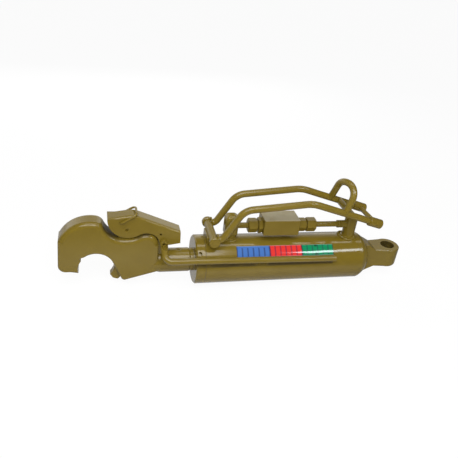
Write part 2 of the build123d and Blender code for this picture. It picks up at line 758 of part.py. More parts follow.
def rear_fitting():
    x0, x1 = station(rear_fitting_start), station(rear_port_station - rear_post_r)
    body = cyl_x(x0, x1 + 4, rear_fitting_r, 0, pipe_z)
    body -= ring_x(x0 + 3, x0 + 5, rear_fitting_r + 1, rear_fitting_r - 1).moved(Location((0, 0, pipe_z)))
    body -= rear_post_blank(assembly)
    body -= cyl_x(x0 - 1, x0 + rear_fitting_socket + assembly, pipe_r + assembly, 0, pipe_z)
    return body - cyl_x(x0, x1 + 5, port_hole_r, 0, pipe_z)


def rear_post_blank(gap=0.0):
    return cyl_z(tube_r - 4, rear_post_top, rear_post_r + gap, station(rear_port_station))


def rear_arm():
    """Forged arm from the top of the rear post forward to the stay between the guard bars."""
    foot, top = station(rear_port_station), rear_post_top - rear_arm_r
    ends = disc((foot, top), rear_arm_r) + disc((foot - stay_ahead, stay_z()), rear_arm_r)
    return extrude(Plane.XZ * make_hull(ends.edges()), rear_arm_half_width, both=True)


def rear_port_post():
    x = station(rear_port_station)
    post = chamfer(rear_post_blank().edges().group_by(Axis.Z)[-1], 1.5) + rear_arm() + weld_ring(rear_post_r, x)
    post -= cyl_x(station(0), station(barrel_length + shoulder_land), tube_r + assembly)
    post -= cyl_z(0, pipe_z, port_hole_r, x)
    post -= cyl_x(x - rear_post_r - 1, x, port_hole_r, 0, pipe_z)
    return post - rear_stay_blank(assembly)


# ---------------------------------------------------------------- guard
def guard_line(x):
    """Height of the guard bars behind their rear bend."""
    (x0, z0), (x1, z1) = guard_rear_bend, guard_rear_end
    return z0 + (x - x0) * (z1 - z0) / (x1 - x0)


def bar_end(side, back=0.0):
    """Rear end of a guard bar, or a place that far in front of it, as (station, z)."""
    (x0, z0), (x1, z1) = guard_rear_bend, guard_rear_end
    length = hypot(x1 - x0, z1 - z0)
    back += far_bar_short if side > 0 else 0.0
    return x1 - (x1 - x0) / length * back, z1 - (z1 - z0) / length * back


def guard_bar_blank(side, r=guard_bar_r):
    y = side * guard_half_width
    places = (crossbar, guard_foot, guard_front_bend, guard_rear_bend, bar_end(side))
    path = FilletPolyline(*[(station(x), y, z) for x, z in places],
                          radius=[guard_foot_bend, guard_bend, guard_rear_bend_round])
    return rod_along(path, r)


def crossbar_blank(gap=0.0):
    """Round bar across the barrel with a thicker collar at each end."""
    reach = guard_half_width + crossbar_overhang
    x, z = station(crossbar[0]), crossbar[1]
    bar = cyl_y(-reach, reach, crossbar_r + gap, x, z)
    for y0, y1 in ((-reach, collar_length - reach), (reach - collar_length, reach)):
        collar = cyl_y(y0 - gap, y1 + gap, collar_r + gap, x, z)
        bar += chamfer(collar.edges().filter_by(GeomType.CIRCLE), 1.2)
    return bar


def guard_bar(side):
    return guard_bar_blank(side) - crossbar_blank(assembly) - tie_rod(assembly)


def guard_saddle():
    x = station(crossbar[0] + saddle_offset)
    block = Pos(x, 0, 30) * Box(saddle_thickness, 2 * saddle_half_width, crossbar[1] - 30,
                                align=(Align.CENTER, Align.CENTER, Align.MIN))
    block = fillet(block.edges().filter_by(Axis.X).group_by(Axis.Z)[-1], 5.0)
    return block - cyl_x(station(0), station(barrel_length), tube_r + assembly) - crossbar_blank(assembly)


def bar_place(side, back):
    x, z = bar_end(side, back)
    return Vector(station(x), side * guard_half_width, z)


def guard_sleeve(side):
    cap_end = bar_place(side, -sleeve_cap)
    plane = Plane(cap_end, z_dir=bar_place(side, sleeve_length) - cap_end)
    outer = extrude(plane * Circle(sleeve_r), sleeve_length)
    outer = chamfer(outer.edges().filter_by(GeomType.CIRCLE), 1.0)
    socket = extrude(plane.offset(sleeve_cap) * Circle(guard_bar_r + assembly), sleeve_length)
    return outer - socket - tie_rod(assembly)


def tie_rod(gap=0.0):
    back = sleeve_length / 2 - 3
    near, far = bar_place(-1, back), bar_place(1, back)
    axis = (far - near).normalized()
    return extrude(Plane(near - axis * gap, z_dir=axis) * Circle(tie_rod_r + gap), (far - near).length + 2 * gap)


def stay_z():
    return guard_line(rear_port_station - stay_ahead)


def rear_stay_blank(gap=0.0):
    return cyl_y(-guard_half_width, guard_half_width, guard_bar_r + gap, station(rear_port_station - stay_ahead),
                 stay_z())


def both_guard_bars():
    return guard_bar_blank(-1, guard_bar_r + assembly) + guard_bar_blank(1, guard_bar_r + assembly)


def guard_rear_stay():
    return rear_stay_blank() - both_guard_bars()


def lifting_loop():
    feet = [(station(x), y, guard_line(x)) for x, y in zip(loop_feet, (guard_half_width, -guard_half_width))]
    far, near = (station(x) for x in loop_shoulders)
    path = FilletPolyline(
        feet[0], (far, loop_shoulder_far, loop_top), (near, -loop_shoulder_near, loop_top + loop_shoulder_rise),
        feet[1], radius=loop_bend)
    return rod_along(path, loop_bar_r) - both_guard_bars()


def length_scale():
    inner = tube_r + assembly
    outer = inner + scale_thickness
    band = ring_x(station(scale_start), station(scale_start + scale_length), outer, inner)
    reach = tube_r * 2

    def ray(degrees):
        return (-reach * cos(radians(degrees)), reach * sin(radians(degrees)))

    wedge = extrude(
        Plane.YZ.offset(station(scale_start) - 1) * polygon((0, 0), ray(scale_low_angle), ray(scale_high_angle)),
        scale_length + 2)
    return band & wedge


pieces = {
    "barrel_tube": barrel_tube(),
    "gland_cap": gland_cap(),
    "gland_o_ring": gland_o_ring(),
    "rear_cap": rear_cap(),
    "knuckle": knuckle(),
    "piston_rod": piston_rod(),
    "piston": piston(),
    "piston_nut": piston_nut(),
    "hook_body": hook_body(),
    "hook_grub_screw": hook_grub_screw(),
    "lever_stop_pin": lever_stop_pin(),
    "indicator_rod": indicator_rod(),
    "release_lever": release_lever(),
    "latch_pawl": latch_pawl(),
    "pawl_key_pin": pawl_key_pin(),
    "pivot_pin": pivot_pin(),
    "latch_spring": latch_spring(),
    "pull_bail": pull_bail(),
    "front_port_post": front_port_post(),
    "front_elbow": front_elbow(),
    "front_pipe": front_pipe(),
    "front_tube_nut": front_tube_nut(),
    "front_adapter": front_adapter(),
    "valve_block": valve_block(),
    "rear_adapter": rear_adapter(),
    "rear_tube_nut": rear_tube_nut(),
    "rear_pipe": rear_pipe(),
    "rear_fitting": rear_fitting(),
    "rear_port_post": rear_port_post(),
    "guard_front_crossbar": crossbar_blank(),
    "guard_saddle": guard_saddle(),
    "guard_bar_near": guard_bar(-1),
    "guard_bar_far": guard_bar(1),
    "guard_sleeve_near": guard_sleeve(-1),
    "guard_sleeve_far": guard_sleeve(1),
    "guard_tie_rod": tie_rod(),
    "guard_rear_stay": guard_rear_stay(),
    "lifting_loop": lifting_loop(),
    "length_scale": length_scale(),
}
for ring_name in seal_grooves:
    pieces[ring_name] = gland_ring(ring_name)
for ring_name in piston_grooves:
    pieces[ring_name] = piston_ring(ring_name)

for name, shape in pieces.items():
    export_step(shape, f"parts/{name}.step")
    print(name, round(shape.volume))
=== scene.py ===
# %% [markdown]
# # A tractor's hydraulic top link, painted and lit
#
# The link joins a tractor to the top of an implement. A hook with a sprung latch grips the implement's
# ball, a knuckle pins to the tractor, and the cylinder between them makes the link longer or shorter.
# Its maker sprays the whole assembly with one coat of glossy olive paint, so shape and gloss matter more
# than colour.
#
# The solids arrive finished from the CAD model and keep their shapes. This script gives them their
# finishes, adds the weld beads and a coil for the latch spring, and sets up the light and the camera.
# Lengths are in metres.

# %% Load the imported model
from math import atan2, cos, radians, sin, sqrt, tau

import bmesh
import bpy
from mathutils import Matrix, Vector


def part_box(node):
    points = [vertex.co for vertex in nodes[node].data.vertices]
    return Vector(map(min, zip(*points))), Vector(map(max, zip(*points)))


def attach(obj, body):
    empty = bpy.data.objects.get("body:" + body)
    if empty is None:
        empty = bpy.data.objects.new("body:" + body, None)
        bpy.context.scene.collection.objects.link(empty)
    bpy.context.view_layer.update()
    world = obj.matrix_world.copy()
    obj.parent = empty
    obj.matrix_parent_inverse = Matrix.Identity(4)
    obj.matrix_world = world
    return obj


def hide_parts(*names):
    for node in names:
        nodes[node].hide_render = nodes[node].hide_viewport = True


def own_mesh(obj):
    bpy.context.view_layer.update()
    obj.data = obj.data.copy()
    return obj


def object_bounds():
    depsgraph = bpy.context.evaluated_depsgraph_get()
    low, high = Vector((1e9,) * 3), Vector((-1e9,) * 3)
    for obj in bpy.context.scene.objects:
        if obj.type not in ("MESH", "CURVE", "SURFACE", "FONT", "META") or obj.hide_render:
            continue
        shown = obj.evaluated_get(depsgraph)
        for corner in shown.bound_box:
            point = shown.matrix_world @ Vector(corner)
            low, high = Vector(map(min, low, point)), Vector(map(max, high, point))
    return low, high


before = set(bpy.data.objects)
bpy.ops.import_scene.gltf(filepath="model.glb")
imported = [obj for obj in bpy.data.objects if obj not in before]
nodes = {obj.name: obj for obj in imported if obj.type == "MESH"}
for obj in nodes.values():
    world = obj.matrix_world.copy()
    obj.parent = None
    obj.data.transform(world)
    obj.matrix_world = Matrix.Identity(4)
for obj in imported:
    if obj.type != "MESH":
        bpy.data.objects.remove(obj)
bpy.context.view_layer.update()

# %% [markdown]
# ## Where things are
#
# Places could be typed in again from a drawing, but then they would drift apart from the CAD model when it
# changes. So the main places are read from the boxes of the CAD pieces. The cylinder lies along X, with the
# hook at the low end and the knuckle's bore at 0, and the side that the camera sees is towards -Y.

# %% Read the main places
tube_low, tube_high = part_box("barrel_tube")
barrel_r = (tube_high.z - tube_low.z) / 2
gland_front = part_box("gland_cap")[0].x


def middle(node):
    low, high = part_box(node)
    return (low + high) / 2


pivot = middle("pivot_pin")
print("barrel radius", round(barrel_r, 4), "gland front", round(gland_front, 4), "pivot", pivot)

# %% [markdown]
# ## Writing shader maths
#
# A finish is a small calculation: noise picks where the paint is thicker, a mask picks where painted shade
# and dust go.
# Node by node, that takes a page of links and hides the idea. Here one class wraps a socket, and a Python
# expression on it adds the Math nodes. Other nodes come from `add_node`, which sets a node's settings first
# and then its inputs.

# %% Add a node, and set or link its sockets
def plug(tree, socket, value):
    """Set a socket to a value, or link it to a wire."""
    if isinstance(value, Wire):
        tree.links.new(value.socket, socket)
    elif isinstance(value, (tuple, list)) and len(value) == 3 and socket.type == "RGBA":
        socket.default_value = (*value, 1.0)
    else:
        socket.default_value = value


def add_node(tree, kind, settings=None, out=0, **inputs):
    """Any node, as the wire of one output. Inputs are named with _ for a space, or by number as in0."""
    made = tree.nodes.new(kind)
    for key, value in (settings or {}).items():
        setattr(made, key, value)
    for key, value in inputs.items():
        numbered = key.startswith("in") and key[2:].isdigit()
        plug(tree, made.inputs[int(key[2:]) if numbered else key.replace("_", " ")], value)
    return Wire(tree, made.outputs[out])


# %% A socket that can be added and multiplied
class Wire:
    """One output socket of a node tree, with arithmetic that builds Math nodes."""

    def __init__(self, tree, socket):
        self.tree = tree
        self.socket = socket

    def maths(self, operation, *values, clamp=False):
        made = self.tree.nodes.new("ShaderNodeMath")
        made.operation = operation
        made.use_clamp = clamp
        for index, value in enumerate(values):
            plug(self.tree, made.inputs[index], value)
        return Wire(self.tree, made.outputs[0])

    def __add__(self, other):
        return self.maths("ADD", self, other)

    __radd__ = __add__

    def __sub__(self, other):
        return self.maths("SUBTRACT", self, other)

    def __rsub__(self, other):
        return self.maths("SUBTRACT", other, self)

    def __mul__(self, other):
        return self.maths("MULTIPLY", self, other)

    __rmul__ = __mul__

    def __truediv__(self, other):
        return self.maths("DIVIDE", self, other)

    def fraction(self):
        return self.maths("FRACT", self)

    def larger(self, other):
        return self.maths("MAXIMUM", self, other)

    def above(self, edge, soft):
        """0 below the edge and 1 above it, over a soft step."""
        return self.maths("ADD", (self - edge) * (0.5 / soft), 0.5, clamp=True)

    def between(self, low, high, soft):
        return self.above(low, soft) * (1 - self.above(high, soft))


print("shader maths ready")

# %% [markdown]
# ## Starting a material
#
# Every finish starts from the same place: a Principled shader, and the piece's own coordinates in metres, so
# that a pattern keeps its size and stays put when the piece moves. A UV map would do that too, but it has to
# be unwrapped with seams, and grain and dirt need none.
#
# The CAD edges are perfectly sharp, and real ones never are. A Bevel modifier would change the mesh, so a
# Bevel node bends the shading over the last half millimetre instead, and each edge catches the light.

# %% Start a material
finishes = {}
broken_edge = 0.0005


def new_finish(name):
    """A material's tree, its Principled shader and its object coordinates."""
    material = bpy.data.materials.new(name)
    material.use_nodes = True
    tree = material.node_tree
    place = add_node(tree, "ShaderNodeTexCoord", out=3)
    finishes[name] = material
    return tree, tree.nodes["Principled BSDF"], place


def noise(tree, place, scale, detail=4.0, roughness=0.55):
    return add_node(
        tree, "ShaderNodeTexNoise", Vector=place, Scale=scale, Detail=detail, Roughness=roughness)


def mix_colour(tree, share, a, b):
    """Blend two colours by a share, on the colour sockets of a Mix node."""
    return add_node(tree, "ShaderNodeMix", {"data_type": "RGBA"}, out=2, in0=share, in6=a, in7=b)


def bump(tree, height, strength, distance, edge=broken_edge):
    """Ripples on a surface, and edges that shade as if broken by a radius."""
    rounded = add_node(tree, "ShaderNodeBevel", {"samples": 4}, Radius=edge)
    return add_node(
        tree, "ShaderNodeBump", Strength=strength, Distance=distance, Height=height, Normal=rounded)


print("edges broken by", broken_edge)

# %% [markdown]
# ## Measuring on a surface
#
# Painted shade, dust and print sit in places that a few measures describe: how far a point is along the link,
# its angle round the cylinder, and its distance from a pin. Painting them on an image would work, but only at
# one size, and these stay sharp at any.

# %% Measures for masks
def split(tree, place):
    """The x, y and z of a position."""
    outputs = add_node(tree, "ShaderNodeSeparateXYZ", Vector=place).socket.node.outputs
    return [Wire(tree, output) for output in outputs]


def angle_round(y, z):
    """The angle round the cylinder, up from the side that faces -Y."""
    return z.maths("ARCTAN2", z, 0 - y)


def away_from(tree, place, across, u, v):
    """Distance from a pin's line at (u, v), where the pin runs along the axis named across."""
    parts = split(tree, place)
    parts.pop("xyz".index(across))
    du, dv = parts[0] - u, parts[1] - v
    return du.maths("SQRT", du * du + dv * dv)


print("masks measure metres and radians")

# %% [markdown]
# ## Olive paint
#
# One coat, sprayed thick over castings, tube and fittings alike. A single colour would look like plastic. It
# looks like paint on steel because its colour drifts where the coat is thicker or thinner, because a spray
# gun leaves a fine orange-peel ripple, and because the skin of a forging shows through it as shallow pits.

# %% Mix the olive paint
paint_colour = (0.170, 0.118, 0.012)
paint_thin = (0.188, 0.134, 0.018)
paint_thick = (0.148, 0.100, 0.008)
# Painted shade: the colour that darkens the hollows, the seam and the line under the indicator rod.
painted_shade_colour = (0.030, 0.021, 0.006)
# Paler colour for the valve block's top: dust, and painted sheen that lightens the top.
dust_and_sheen_colour = (0.46, 0.42, 0.30)
chrome_colour = (0.72, 0.73, 0.74)
chrome_roughness = 0.09


def olive_paint(name, peel=0.12, cast=0.0, roughness=0.16, chrome_from=None, painted_light_and_dust=None,
                painted_light_and_dust_colour=painted_shade_colour):
    """Glossy olive paint: peel is its ripple, cast a forging's pits, and the mask adds painted shade, and on
    the block dust with painted sheen.
    """
    tree, shader, place = new_finish(name)
    drift = noise(tree, place, 9.0, 3.0)
    patches = noise(tree, place, 42.0, 5.0, 0.6)
    colour = mix_colour(tree, drift.above(0.5, 0.16), paint_colour, paint_thin)
    colour = mix_colour(tree, patches.above(0.56, 0.12) * 0.35, colour, paint_thick)
    gloss = roughness + patches * 0.06
    # Painted shade, and on the block dust with painted sheen, blended in through the mask.
    if painted_light_and_dust is not None:
        painted_light_and_dust_share = painted_light_and_dust(tree, place) * patches.above(0.30, 0.25)
        colour = mix_colour(tree, painted_light_and_dust_share, colour, painted_light_and_dust_colour)
        gloss = gloss + painted_light_and_dust_share * 0.35
    if chrome_from is not None:
        bright = split(tree, place)[0].above(chrome_from, 0.0004)
        colour = mix_colour(tree, bright, colour, chrome_colour)
        gloss = gloss * (1 - bright) + bright * chrome_roughness
        plug(tree, shader.inputs["Metallic"], bright)
    plug(tree, shader.inputs["Base Color"], colour)
    plug(tree, shader.inputs["Roughness"], gloss)
    shader.inputs["Specular IOR Level"].default_value = 0.42
    height = noise(tree, place, 240.0, 2.0) * peel
    if cast:
        pits = noise(tree, place, 130.0, 6.0, 0.62)
        dents = noise(tree, place, 30.0, 3.0)
        height = height + pits * cast + dents * (cast * 2.5)
    plug(tree, shader.inputs["Normal"], bump(tree, height, 0.35, 0.0010))


print("paint", paint_colour)

# %% [markdown]
# ## Where painted shade and dust go
#
# Painted shade darkens the places where shade falls: the recess wall beside the lever, the knuckle's bore,
# the seam behind the gland and a line on the barrel just below the indicator rod. Dust and painted sheen make
# the flat top of the lock valve block paler. Each place is a mask made of the measures above, so the shade
# and dust turn up nowhere else.

# %% Masks for painted shade and dust
indicator_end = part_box("indicator_rod")[1].x
block_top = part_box("valve_block")[1].z
recess_r = (0.0200, 0.0385)
recess_half_width = 0.0150
bore_r = 0.0131
rod_shadow_band = (radians(12.0), radians(21.0))
seam = (tube_low.x - 0.0005, tube_low.x + 0.0007)


def beside_the_lever(tree, place):
    """Painted shade on the wall of the hook's recess, outside the lever's round end and between the hook's
    two faces.
    """
    y = split(tree, place)[1]
    inside = 1 - y.maths("ABSOLUTE", y).above(recess_half_width, 0.002)
    return away_from(tree, place, "y", pivot.x, pivot.z).between(*recess_r, 0.003) * inside * 0.85


# Painted shade in the knuckle's bore.
def in_the_bore(tree, place):
    return (1 - away_from(tree, place, "z", 0.0, 0.0).above(bore_r, 0.0004)) * 0.95


def under_the_indicator(tree, place):
    """A painted shadow on the barrel just below the indicator rod, and painted shade in the seam between
    gland and tube.
    """
    x, y, z = split(tree, place)
    short_of_rod_end = 1 - x.above(indicator_end - 0.002, 0.001)
    line = angle_round(y, z).between(*rod_shadow_band, radians(2.0)) * short_of_rod_end
    return (line * 0.75).larger(x.between(*seam, 0.0003) * 0.6)


# Dust and painted sheen: the valve block's flat top is made paler.
def on_the_block(tree, place):
    return split(tree, place)[2].above(block_top - 0.0004, 0.0003) * 0.55


print("indicator rod ends at", round(indicator_end, 4), "block top at", round(block_top, 4))

# %% [markdown]
# ## The paints
#
# Drawn tube is smoother than a forging, and a weld is rougher than both. The rod's finish has two parts: the
# end in front of the gland is painted with the hook that is screwed onto it, and the rest is ground chrome,
# which shows when the link is drawn out. One finish with a mask does both, because the rod is one piece.

# %% Make the paints
olive_paint("olive_smooth", peel=0.10)
# The barrel, hook and knuckle get painted shade through their masks, and the block's top dust with painted
# sheen.
olive_paint("olive_barrel", peel=0.08, roughness=0.10, painted_light_and_dust=under_the_indicator)
olive_paint("olive_block", peel=0.08, roughness=0.20, painted_light_and_dust=on_the_block, painted_light_and_dust_colour=dust_and_sheen_colour)
olive_paint("olive_forged", peel=0.14, cast=0.22)
olive_paint("olive_hook", peel=0.14, cast=0.20, roughness=0.15, painted_light_and_dust=beside_the_lever)
olive_paint("olive_knuckle", peel=0.14, cast=0.22, roughness=0.18, painted_light_and_dust=in_the_bore)
olive_paint("olive_weld", peel=0.20, cast=0.45)
olive_paint("painted_chrome_rod", peel=0.08, chrome_from=gland_front)
print("paints", sorted(finishes))

# %% [markdown]
# ## Bare metal, plastic and rubber
#
# Only what sits inside escapes the spray gun: the piston and its nut, the seals and guide rings, the latch
# spring and the key pin that ties the pawl to the pivot pin. Few people will see them, but an open or cut
# model shows them all. They could each have a material of their own, but one function serves them, because
# they differ only in colour, gloss and grain.

# %% Finishes for what sits inside
def plain_finish(name, colour, metallic, roughness, grain=0.0, stretch=(1.0, 1.0, 1.0)):
    """A finish with a little variation. Stretch draws its grain out along an axis, as turning does."""
    tree, shader, place = new_finish(name)
    drawn = add_node(tree, "ShaderNodeMapping", Vector=place, Scale=stretch)
    drift = noise(tree, place, 60.0, 4.0)
    streak = noise(tree, drawn, 900.0, 3.0)
    darker = tuple(0.6 * c for c in colour)
    varied = mix_colour(tree, drift.above(0.55, 0.2) * 0.6, colour, darker)
    plug(tree, shader.inputs["Base Color"], varied)
    plug(tree, shader.inputs["Roughness"], roughness + drift * 0.12 + streak * grain)
    shader.inputs["Metallic"].default_value = metallic
    plug(tree, shader.inputs["Normal"], bump(tree, streak, 0.25, 0.0002))


plain_finish("dark_pin_steel", (0.055, 0.045, 0.028), 0.85, 0.34, 0.1)
plain_finish("turned_steel", (0.46, 0.45, 0.43), 1.0, 0.30, 0.15, (6.0, 0.2, 0.2))
plain_finish("spring_wire", (0.30, 0.29, 0.28), 1.0, 0.28, 0.1)
plain_finish("polyurethane_seal", (0.05, 0.08, 0.22), 0.0, 0.42)
plain_finish("guide_ring_phenolic", (0.25, 0.12, 0.07), 0.0, 0.6, 0.1)
plain_finish("nitrile_ring", (0.02, 0.02, 0.02), 0.0, 0.5)
print("finishes", len(finishes))

# %% [markdown]
# ## The length scale
#
# A printed film on the barrel tells the driver how far the rod is out: blue, red and green zones, each cut
# into six cells by darker lines, read against the end of the indicator rod. The film follows the barrel, so
# its pattern is drawn on two measures that run from 0 to 1: along the barrel, and across the film by the
# angle round the barrel. A separate piece for each cell would look the same and break the film into scraps.

# %% Lay out the scale
zone_colours = ((0.060, 0.165, 0.47), (0.72, 0.036, 0.030), (0.004, 0.250, 0.100))
line_colour = (0.02, 0.02, 0.06)
zone_end_colour = (0.02, 0.02, 0.05)
mark_colour = (0.002, 0.030, 0.012)
film_edge_colour = (0.35, 0.38, 0.40)
zones = len(zone_colours)
cells = 6 * zones
film_bottom, film_top = radians(33.3), radians(59.9)
centre_mark = (0.800, 0.826)


def zone_colour(tree, along):
    colour = zone_colours[0]
    for index in range(1, zones):
        colour = mix_colour(tree, along.above(index / zones, 0.002), colour, zone_colours[index])
    return colour


def cell_lines(along, across):
    """Lines between the cells, which stop short of the top edge, and shorter still in the first zone."""
    cell = (along * float(cells) + 0.5).fraction()
    reach = along.above(1 / zones, 0.002) * 0.14 + 0.82
    return cell.between(0.38, 0.62, 0.05) * across.above(0.05, 0.02) * (1 - (across - reach).above(0.0, 0.02))


def centre_marks(along, across):
    """A short mark at the bottom and the top edge, near the middle of the last zone."""
    strip = along.between(*centre_mark, 0.003)
    return strip * across.between(0.02, 0.22, 0.02) + strip * across.between(0.80, 0.99, 0.02)


print("scale", zones, "zones,", cells, "cells")


# %% Print the scale on its film
def scale_film():
    low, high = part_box("length_scale")
    tree, shader, place = new_finish("scale_film")
    x, y, z = split(tree, place)
    along = (x - low.x) / (high.x - low.x)
    across = (angle_round(y, z) - film_bottom) / (film_top - film_bottom)
    zone_end = (along * float(zones) + 0.5).fraction().between(0.475, 0.525, 0.01)
    film_edge = 1 - across.between(0.045, 0.955, 0.012)
    colour = zone_colour(tree, along)
    colour = mix_colour(tree, cell_lines(along, across) * 0.62, colour, line_colour)
    colour = mix_colour(tree, zone_end * 0.55, colour, zone_end_colour)
    colour = mix_colour(tree, centre_marks(along, across) * 0.85, colour, mark_colour)
    colour = mix_colour(tree, film_edge * 0.45, colour, film_edge_colour)
    plug(tree, shader.inputs["Base Color"], colour)
    plug(tree, shader.inputs["Roughness"], 0.07 + noise(tree, place, 240.0, 4.0) * 0.06)
    shader.inputs["Coat Weight"].default_value = 0.4
    shader.inputs["Coat Roughness"].default_value = 0.03
    plug(tree, shader.inputs["Normal"], bump(tree, noise(tree, place, 90.0, 3.0), 0.06, 0.0004, 0.0002))
    return high.x - low.x


print("scale film", round(scale_film(), 4), "long")

# %% [markdown]
# ## Dressing the CAD pieces
#
# A CAD piece whose shape is right keeps its mesh and only gets a finish. Most have the plain smooth olive
# paint, so the table names only the others.

# %% Give every CAD piece its finish
own_finish = {
    "barrel_tube": "olive_barrel",
    "gland_cap": "olive_barrel",
    "valve_block": "olive_block",
    "hook_body": "olive_hook",
    "knuckle": "olive_knuckle",
    "rear_cap": "olive_forged",
    "latch_pawl": "olive_forged",
    "front_elbow": "olive_forged",
    "piston_rod": "painted_chrome_rod",
    "piston": "turned_steel",
    "piston_nut": "turned_steel",
    "piston_seal": "polyurethane_seal",
    "rod_seal": "polyurethane_seal",
    "wiper_ring": "polyurethane_seal",
    "piston_wear_ring": "guide_ring_phenolic",
    "gland_guide_ring": "guide_ring_phenolic",
    "gland_o_ring": "nitrile_ring",
    "pawl_key_pin": "dark_pin_steel",
    "length_scale": "scale_film",
}
for name, piece in nodes.items():
    piece.data.materials.clear()
    piece.data.materials.append(finishes[own_finish.get(name, "olive_smooth")])
print("dressed", len(nodes), "pieces")

# %% [markdown]
# ## From a line to a piece
#
# A spring and a weld bead are both a round section that follows a line. A curve with a bevel draws exactly
# that, and its radius can change along the way, which a swept mesh would need code for. The curve is turned
# into a mesh at once, because a finished piece is a mesh with its place in its points.

# %% A round section along a line
def round_section(name, places, radius, closed, pulse=None):
    """A curve through places, with a round section, and pulse(index) as the share of its radius there."""
    curve = bpy.data.curves.new(name, "CURVE")
    curve.dimensions = "3D"
    curve.bevel_depth = radius
    curve.bevel_resolution = 3
    curve.use_fill_caps = not closed
    spline = curve.splines.new("POLY")
    spline.points.add(len(places) - 1)
    spline.use_cyclic_u = closed
    for index, place in enumerate(places):
        spline.points[index].co = (*place, 1.0)
        if pulse is not None:
            spline.points[index].radius = pulse(index)
    return curve_to_mesh(name, curve)


def curve_to_mesh(name, curve):
    """A mesh piece made from a curve, with smooth faces; the curve is removed."""
    holder = bpy.data.objects.new(name + "_line", curve)
    bpy.context.scene.collection.objects.link(holder)
    mesh = bpy.data.meshes.new_from_object(holder.evaluated_get(bpy.context.evaluated_depsgraph_get()))
    bpy.data.objects.remove(holder)
    bpy.data.curves.remove(curve)
    piece = bpy.data.objects.new(name, mesh)
    bpy.context.scene.collection.objects.link(piece)
    mesh.materials.clear()
    for face in mesh.polygons:
        face.use_smooth = True
    return piece


print("round sections ready")

# %% [markdown]
# ## The latch spring
#
# A coil spring in the hook's pocket pushes the pawl shut, and shortens when the lever opens it. A CAD solid
# can't shorten, so a coil drawn here stands for it, and stays with the hook. The script works out how far the
# pawl travels at the spring's height when the latch turns all the way; here the coil is drawn at its full
# length.

# %% Coil the latch spring
spring_wire_r = 0.0010
spring_turns = 8
points_per_turn = 28
spring_clearance = 0.0004
latch_opening = radians(20.0)


def latch_coil():
    low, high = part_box("latch_spring")
    coil_r = (high.y - low.y) / 2 - spring_wire_r
    start = low.x + spring_wire_r + spring_clearance
    length = high.x - spring_wire_r - start
    height = (low.z + high.z) / 2
    count = spring_turns * points_per_turn
    places = []
    for index in range(count + 1):
        turn = tau * spring_turns * index / count
        places.append((start + length * index / count, coil_r * sin(turn), height + coil_r * cos(turn)))
    piece = round_section("latch_coil", places, spring_wire_r, closed=False)
    piece.data.materials.append(finishes["spring_wire"])
    travel = (pivot.z - height) * sin(latch_opening)
    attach(piece, "rod")
    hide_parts("latch_spring")
    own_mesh(piece)
    return travel


print("the open latch shortens the spring by", round(latch_coil(), 5))

# %% [markdown]
# ## Weld beads
#
# The two port posts and the rear cap are welded to the barrel. A bead is a round cord of metal laid in
# overlapping ripples, so it is a round section along the joint whose radius pulses. Ripples drawn only with
# a bump map would leave its outline smooth. The rear post's bead is the coarsest.

# %% Lay a bead round a joint
weld_pitch = 0.0021
points_per_ripple = 4
weld_wander = 0.06


def resampled(corners, count):
    """Count places, evenly spaced round the closed line through the corners, and each one's distance."""
    loop = [Vector(corner) for corner in (*corners, corners[0])]
    lengths = [(b - a).length for a, b in zip(loop, loop[1:])]
    total, step, run = sum(lengths), 0, 0.0
    places = []
    for index in range(count):
        want = total * index / count
        while step < len(lengths) - 1 and run + lengths[step] < want:
            run += lengths[step]
            step += 1
        share = min(1.0, (want - run) / lengths[step])
        places.append((loop[step].lerp(loop[step + 1], share), want))
    return places


def bead(name, body, corners, radius, ripple):
    """A weld bead round the corners of a joint, on a body; ripple is how deep it pulses."""
    around = sum((Vector(b) - Vector(a)).length for a, b in zip(corners, (*corners[1:], corners[0])))
    count = max(12, int(around / weld_pitch * points_per_ripple))
    places = resampled(corners, count)

    def pulse(index):
        along = places[index][1] / weld_pitch
        return 1.0 - ripple * (0.5 + 0.5 * cos(tau * along)) + weld_wander * sin(37.0 / 7.0 * along)

    piece = round_section(name, [place for place, _ in places], radius, closed=True, pulse=pulse)
    piece.data.materials.append(finishes["olive_weld"])
    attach(piece, body)
    return len(places)


print("weld pitch", weld_pitch)

# %% Weld the posts and the rear cap
bead_lift = 0.0006
front_weld_r, rear_weld_r = 0.0125, 0.0145


def turns(count):
    return [tau * index / count for index in range(count)]


def ring_on_barrel(x, radius):
    """Where an upright post of that radius meets the top of the barrel."""
    places = []
    for turn in turns(96):
        y = radius * sin(turn)
        places.append((x + radius * cos(turn), y, sqrt(barrel_r**2 - y**2) + bead_lift))
    return places


def ring_round_barrel(x, radius):
    return [(x, radius * sin(turn), radius * cos(turn)) for turn in turns(160)]


front_ring = ring_on_barrel(middle("front_port_post").x, front_weld_r)
rear_ring = ring_on_barrel(middle("rear_port_post").x, rear_weld_r)
cap_ring = ring_round_barrel(tube_high.x + 0.0035, barrel_r - 0.0022)
shoulder_ring = ring_round_barrel(tube_high.x + 0.0090, barrel_r - 0.0030)
print("front post", bead("weld_front_post", "barrel", front_ring, 0.0022, 0.16), "points")
print("rear post", bead("weld_rear_post", "barrel", rear_ring, 0.0026, 0.28), "points")
print("rear cap", bead("weld_rear_cap", "barrel", cap_ring, 0.0020, 0.10), "points")
print("cap shoulder", bead("weld_cap_shoulder", "barrel", shoulder_ring, 0.0018, 0.10), "points")

# %% [markdown]
# Each guard bar is tacked to the crossbar, with a ring of weld where the bar's foot runs into it. The bar
# leaves the crossbar nearly level, so the ring stands nearly upright, square to the bar.

# %% Tack the guard bars to the crossbar
bar_y = abs(middle("guard_bar_near").y)
crossbar = middle("guard_front_crossbar")
tack_behind, tack_above = 0.0062, 0.0056
tack_lean, tack_half_width, tack_half_height = 0.0010, 0.0066, 0.0046


